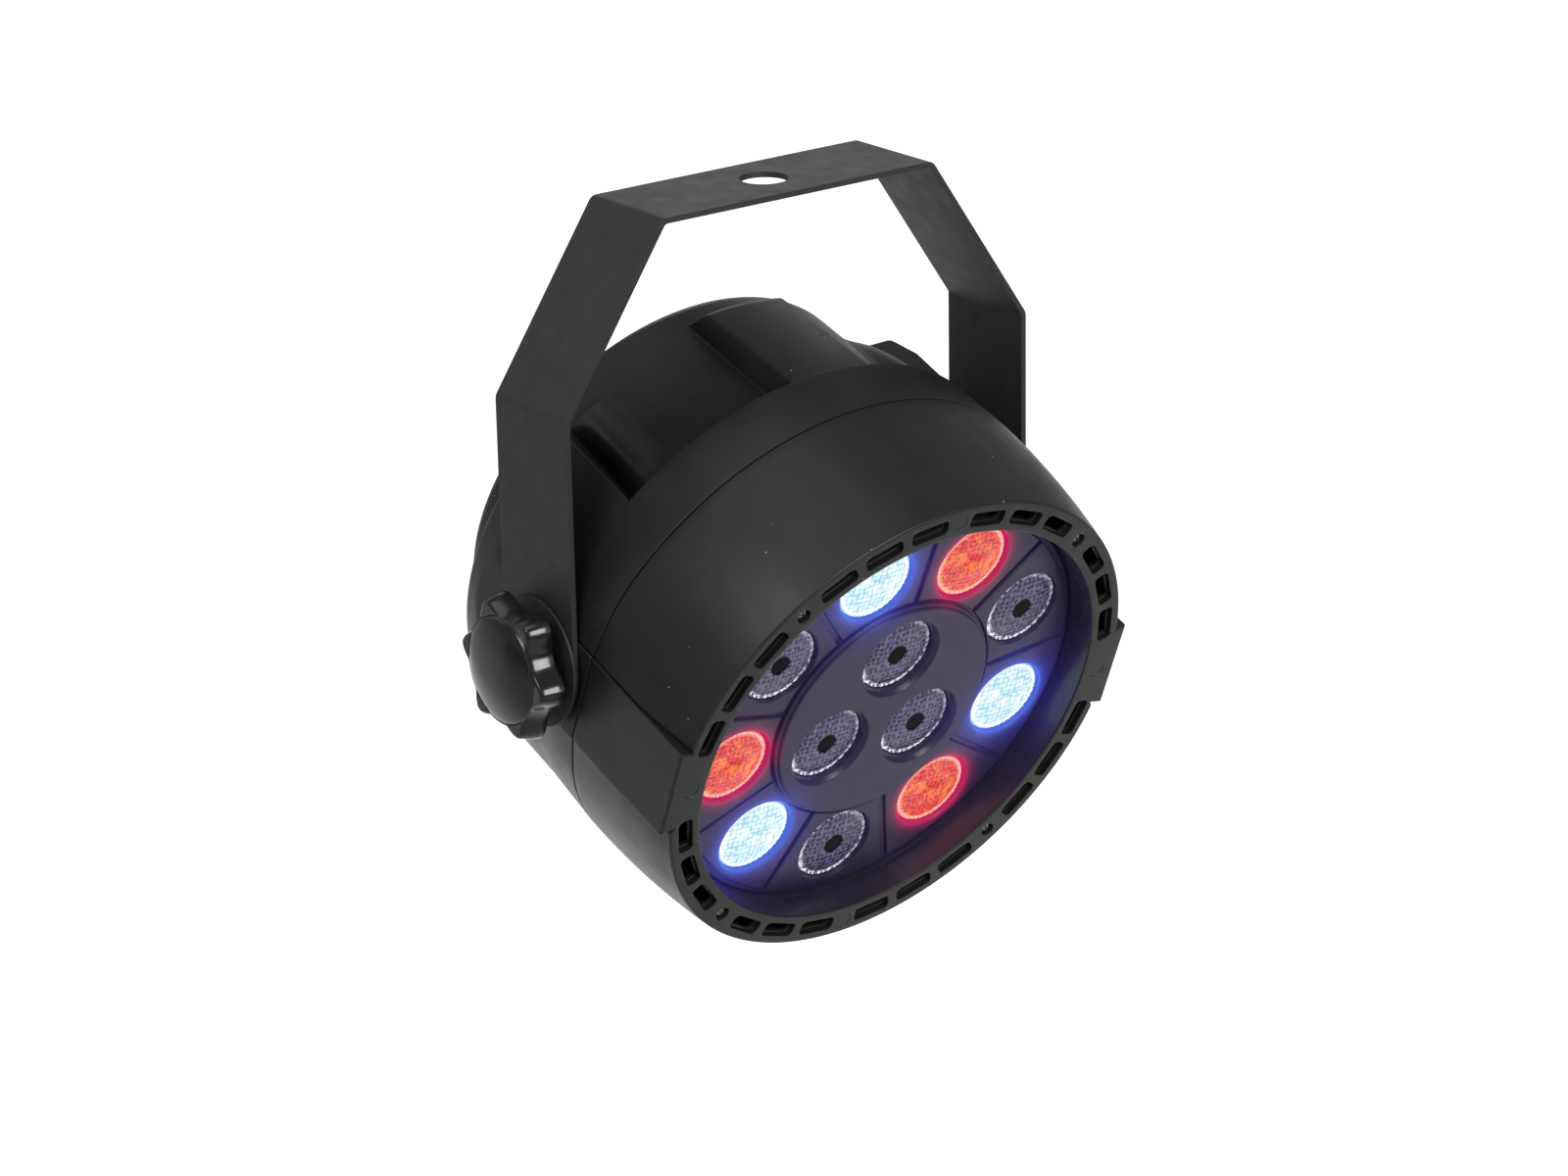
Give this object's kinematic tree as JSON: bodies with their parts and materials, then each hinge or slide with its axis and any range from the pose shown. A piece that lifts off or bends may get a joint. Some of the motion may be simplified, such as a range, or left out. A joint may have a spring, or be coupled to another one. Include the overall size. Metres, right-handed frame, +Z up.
{
  "type": "par can light",
  "caption": "Compact LED par can stage light with a round lens face, tilting in a bent strip yoke with a clamping knob at each side and connectors on its back.",
  "frame": {"origin": "centre of the hanging hole, on the top outer surface of the yoke", "axes": "+Z up through the yoke, +X to the right along the tilt axis as seen from the front, the light points to -Y and 21.86 degrees down"},
  "size_m": [0.175, 0.147, 0.1967],
  "materials": {
    "yoke": "fine-textured dark grey powder coat",
    "shell": "satin black moulded plastic with a fine grain",
    "lens_plate": "dark satin plastic",
    "lens": "clear moulded optical plastic",
    "knob": "glossy black plastic",
    "stud": "zinc-plated steel",
    "washer": "matt black rubber",
    "insert": "turned brass",
    "screw": "zinc-plated steel",
    "led_board": "white solder mask on aluminium",
    "heat_sink": "bare extruded aluminium",
    "circuit_board": "green solder mask",
    "display": "black display body",
    "window": "smoked clear plastic",
    "button": "satin black plastic",
    "socket": "black moulded plastic",
    "contact": "nickel-plated contact metal",
    "microphone": "small metal capsule",
    "transformer": "dark wound transformer",
    "capacitor": "blue sleeve"
  },
  "bodies": {
    "yoke": {"yoke": "yoke"},
    "housing": {"front_shell": "shell", "rear_shell": "shell", "rear_panel": "shell", "lens_plate": "lens_plate", "outer_lens_1": "lens", "outer_lens_2": "lens", "outer_lens_3": "lens", "outer_lens_4": "lens", "outer_lens_5": "lens", "outer_lens_6": "lens", "outer_lens_7": "lens", "outer_lens_8": "lens", "outer_lens_9": "lens", "inner_lens_1": "lens", "inner_lens_2": "lens", "inner_lens_3": "lens", "left_pivot_insert": "insert", "right_pivot_insert": "insert", "front_screw_1": "screw", "front_screw_2": "screw", "front_screw_3": "screw", "front_screw_4": "screw", "rear_screw_1": "screw", "rear_screw_2": "screw", "rear_screw_3": "screw", "rear_screw_4": "screw", "led_board": "led_board", "heat_sink": "heat_sink", "control_board": "circuit_board", "power_supply_board": "circuit_board", "display_module": "display", "display_window": "window", "dmx_in_socket": "socket", "dmx_out_socket": "socket", "power_inlet": "socket", "dmx_in_insert": "contact", "power_inlet_core": "contact", "microphone": "microphone", "transformer": "transformer", "smoothing_capacitor": "capacitor"},
    "left_washer": {"left_washer": "washer"},
    "left_knob": {"left_knob": "knob", "left_stud": "stud"},
    "right_washer": {"right_washer": "washer"},
    "right_knob": {"right_knob": "knob", "right_stud": "stud"},
    "mode_button": {"mode_button": "button"},
    "setup_button": {"setup_button": "button"},
    "up_button": {"up_button": "button"},
    "down_button": {"down_button": "button"},
    "dmx_out_latch": {"dmx_out_latch": "contact"}
  },
  "joints": [
    {"name": "tilt", "type": "hinge", "parent": "yoke", "child": "housing", "pos_m": [0, 0, -0.1113], "axis": [1, 0, 0], "continuous": true},
    {"name": "left_clamp_slide", "type": "slide", "parent": "housing", "child": "left_washer", "axis": [-1, 0, 0], "range_m": [0, 0.0025]},
    {"name": "left_knob_turn", "type": "hinge", "parent": "left_washer", "child": "left_knob", "pos_m": [-0.0813, 0, -0.1113], "axis": [-1, 0, 0], "range_deg": [0, 720]},
    {"name": "right_clamp_slide", "type": "slide", "parent": "housing", "child": "right_washer", "axis": [1, 0, 0], "range_m": [0, 0.0025]},
    {"name": "right_knob_turn", "type": "hinge", "parent": "right_washer", "child": "right_knob", "pos_m": [0.0813, 0, -0.1113], "axis": [1, 0, 0], "range_deg": [0, 720]},
    {"name": "mode_press", "type": "slide", "parent": "housing", "child": "mode_button", "axis": [0, -0.9281, -0.3723], "range_m": [0, 0.0006], "stiffness_N_per_m": 800},
    {"name": "setup_press", "type": "slide", "parent": "housing", "child": "setup_button", "axis": [0, -0.9281, -0.3723], "range_m": [0, 0.0006], "stiffness_N_per_m": 800},
    {"name": "up_press", "type": "slide", "parent": "housing", "child": "up_button", "axis": [0, -0.9281, -0.3723], "range_m": [0, 0.0006], "stiffness_N_per_m": 800},
    {"name": "down_press", "type": "slide", "parent": "housing", "child": "down_button", "axis": [0, -0.9281, -0.3723], "range_m": [0, 0.0006], "stiffness_N_per_m": 800},
    {"name": "latch_press", "type": "slide", "parent": "housing", "child": "dmx_out_latch", "axis": [0, -0.9281, -0.3723], "range_m": [0, 0.0012], "stiffness_N_per_m": 600}
  ],
  "couplings": [
    {"joint": "left_knob_turn", "follows": "left_clamp_slide", "rad_per_m": 5026.5},
    {"joint": "right_knob_turn", "follows": "right_clamp_slide", "rad_per_m": 5026.5}
  ]
}
